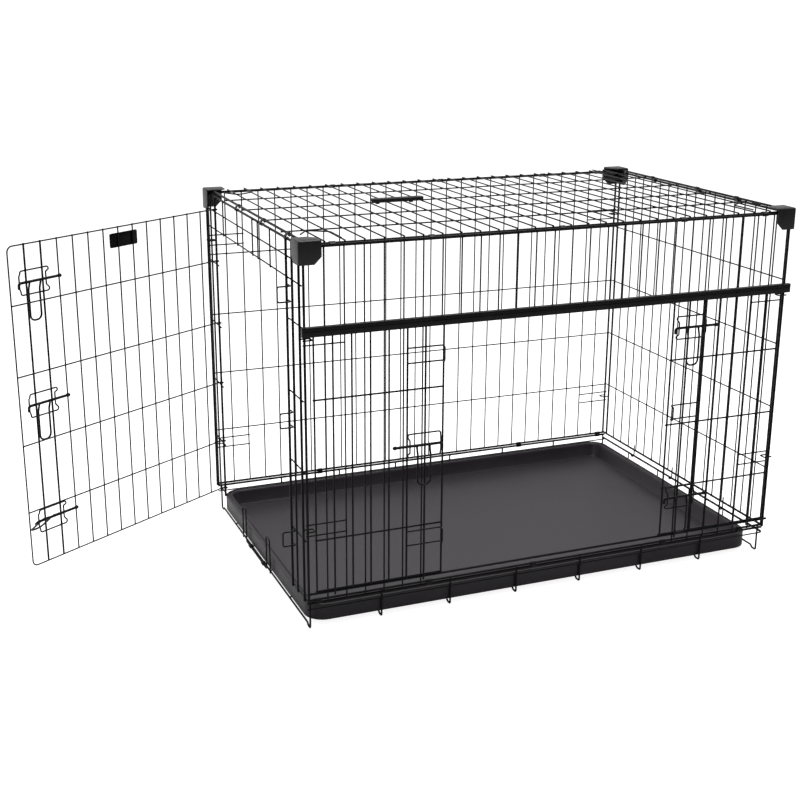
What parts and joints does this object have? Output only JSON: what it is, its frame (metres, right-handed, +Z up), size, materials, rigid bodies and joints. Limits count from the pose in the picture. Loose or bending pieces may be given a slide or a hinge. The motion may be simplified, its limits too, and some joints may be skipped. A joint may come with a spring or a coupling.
{
  "type": "wire dog crate",
  "caption": "Rectangular folding wire kennel with a swinging end door, two sliding side doors under a rail, wire latches, a lift-out floor tray, corner guards and a top carry handle.",
  "frame": {"origin": "centre of the crate's footprint, on the floor under its wire feet", "axes": "+X along the long side away from the end door, +Y towards the closed long side (the sliding doors are at -Y), +Z up"},
  "size_m": [1.5667, 0.7368, 0.7818],
  "materials": {
    "wire": "black electro-coat, satin",
    "latch": "black electro-coat, satin, worn where it rubs",
    "clip": "black coated spring steel strip",
    "rail": "black powder coat",
    "guard": "fine moulded texture, satin",
    "tray": "charcoal moulded plastic, fine grain",
    "grip": "moulded grip, soft satin",
    "plate": "plain black plate, gloss"
  },
  "bodies": {
    "crate": {"back_panel_frame": "wire", "back_panel_mesh": "wire", "front_panel_frame": "wire", "front_upper_mesh": "wire", "front_left_mesh": "wire", "front_right_mesh": "wire", "right_end_frame": "wire", "right_end_mesh": "wire", "left_end_frame": "wire", "left_end_ladders": "wire", "left_end_header": "wire", "slider_rail": "rail", "slider_guide": "wire", "end_door_keepers": "latch", "floor_cross_wires": "wire", "floor_feet": "wire", "floor_runners": "wire", "floor_lips": "wire", "tray_stop_clips": "clip", "top_panel_frame": "wire", "top_panel_mesh": "wire", "top_corner_hooks": "wire", "floor_clips": "clip", "top_clips": "clip", "end_top_clips": "clip", "end_panel_hooks": "wire", "right_end_foot_hooks": "wire"},
    "end_door": {"end_door_frame": "wire", "end_door_mesh": "wire", "door_plate": "plate", "door_lower_latch_housing": "latch", "door_middle_latch_housing": "latch", "door_upper_latch_housing": "latch"},
    "left_slider": {"left_sliding_door": "wire", "left_slider_keepers": "latch", "left_slider_latch_housing": "latch"},
    "right_slider": {"right_sliding_door": "wire", "right_slider_keeper": "latch", "right_slider_lower_latch_housing": "latch", "right_slider_upper_latch_housing": "latch"},
    "door_lower_latch_slide": {"door_lower_latch_collar": "latch"},
    "door_lower_latch_bolt": {"door_lower_latch_bolt": "latch"},
    "door_middle_latch_slide": {"door_middle_latch_collar": "latch"},
    "door_middle_latch_bolt": {"door_middle_latch_bolt": "latch"},
    "door_upper_latch_slide": {"door_upper_latch_collar": "latch"},
    "door_upper_latch_bolt": {"door_upper_latch_bolt": "latch"},
    "left_slider_latch_slide": {"left_slider_latch_collar": "latch"},
    "left_slider_latch_bolt": {"left_slider_latch_bolt": "latch"},
    "right_slider_lower_latch_slide": {"right_slider_lower_latch_collar": "latch"},
    "right_slider_lower_latch_bolt": {"right_slider_lower_latch_bolt": "latch"},
    "right_slider_upper_latch_slide": {"right_slider_upper_latch_collar": "latch"},
    "right_slider_upper_latch_bolt": {"right_slider_upper_latch_bolt": "latch"},
    "tray": {"tray": "tray"},
    "tray_stop": {"tray_stop": "wire"},
    "guard_front_left": {"corner_guard_front_left": "guard"},
    "guard_front_right": {"corner_guard_front_right": "guard"},
    "guard_back_left": {"corner_guard_back_left": "guard"},
    "guard_back_right": {"corner_guard_back_right": "guard"},
    "carry_handle": {"carry_handle": "grip"}
  },
  "joints": [
    {"name": "end_door_hinge", "type": "hinge", "parent": "crate", "child": "end_door", "pos_m": [-0.5403, 0.2649, 0.4], "axis": [0, 0, 1], "range_deg": [-102, 58.09]},
    {"name": "left_slider_slide", "type": "slide", "parent": "crate", "child": "left_slider", "axis": [1, 0, 0], "range_m": [0, 0.2555]},
    {"name": "right_slider_slide", "type": "slide", "parent": "crate", "child": "right_slider", "axis": [-1, 0, 0], "range_m": [0, 0.2555]},
    {"name": "door_lower_latch_slide", "type": "slide", "parent": "end_door", "child": "door_lower_latch_slide", "axis": [-0.8489, -0.5286, 0], "range_m": [0, 0.018]},
    {"name": "door_lower_latch_turn", "type": "hinge", "parent": "door_lower_latch_slide", "child": "door_lower_latch_bolt", "pos_m": [-0.958, 0.02006, 0.17], "axis": [0.8489, 0.5286, 0], "range_deg": [-50, 50]},
    {"name": "door_middle_latch_slide", "type": "slide", "parent": "end_door", "child": "door_middle_latch_slide", "axis": [-0.8489, -0.5286, 0], "range_m": [0, 0.018]},
    {"name": "door_middle_latch_turn", "type": "hinge", "parent": "door_middle_latch_slide", "child": "door_middle_latch_bolt", "pos_m": [-0.958, 0.02006, 0.417], "axis": [0.8489, 0.5286, 0], "range_deg": [0, 100]},
    {"name": "door_upper_latch_slide", "type": "slide", "parent": "end_door", "child": "door_upper_latch_slide", "axis": [-0.8489, -0.5286, 0], "range_m": [0, 0.018]},
    {"name": "door_upper_latch_turn", "type": "hinge", "parent": "door_upper_latch_slide", "child": "door_upper_latch_bolt", "pos_m": [-0.958, 0.02006, 0.666], "axis": [0.8489, 0.5286, 0], "range_deg": [0, 100]},
    {"name": "left_slider_latch_slide", "type": "slide", "parent": "left_slider", "child": "left_slider_latch_slide", "axis": [1, 0, 0], "range_m": [0, 0.018]},
    {"name": "left_slider_latch_turn", "type": "hinge", "parent": "left_slider_latch_slide", "child": "left_slider_latch_bolt", "pos_m": [-0.311, -0.36747, 0.366], "axis": [-1, 0, 0], "range_deg": [0, 100]},
    {"name": "right_slider_lower_latch_slide", "type": "slide", "parent": "right_slider", "child": "right_slider_lower_latch_slide", "axis": [-1, 0, 0], "range_m": [0, 0.018]},
    {"name": "right_slider_lower_latch_turn", "type": "hinge", "parent": "right_slider_lower_latch_slide", "child": "right_slider_lower_latch_bolt", "pos_m": [0.311, -0.36747, 0.172], "axis": [-1, 0, 0], "range_deg": [0, 100]},
    {"name": "right_slider_upper_latch_slide", "type": "slide", "parent": "right_slider", "child": "right_slider_upper_latch_slide", "axis": [-1, 0, 0], "range_m": [0, 0.018]},
    {"name": "right_slider_upper_latch_turn", "type": "hinge", "parent": "right_slider_upper_latch_slide", "child": "right_slider_upper_latch_bolt", "pos_m": [0.311, -0.36747, 0.548], "axis": [-1, 0, 0], "range_deg": [0, 100]},
    {"name": "tray_lift", "type": "slide", "parent": "crate", "child": "tray", "axis": [0, 0, 1], "range_m": [0, 0.09]},
    {"name": "tray_stop_hinge", "type": "hinge", "parent": "crate", "child": "tray_stop", "pos_m": [-0.534, 0.0285, 0.007], "axis": [0, -1, 0], "range_deg": [0, 90]},
    {"name": "guard_front_left_lift", "type": "slide", "parent": "crate", "child": "guard_front_left", "axis": [0, 0, 1], "range_m": [0, 0.06]},
    {"name": "guard_front_right_lift", "type": "slide", "parent": "crate", "child": "guard_front_right", "axis": [0, 0, 1], "range_m": [0, 0.06]},
    {"name": "guard_back_left_lift", "type": "slide", "parent": "crate", "child": "guard_back_left", "axis": [0, 0, 1], "range_m": [0, 0.06]},
    {"name": "guard_back_right_lift", "type": "slide", "parent": "crate", "child": "guard_back_right", "axis": [0, 0, 1], "range_m": [0, 0.06]},
    {"name": "carry_handle_hinge", "type": "hinge", "parent": "crate", "child": "carry_handle", "pos_m": [-0.19005, 0.06836, 0.77097], "axis": [-1, 0, 0], "range_deg": [0, 90]}
  ]
}
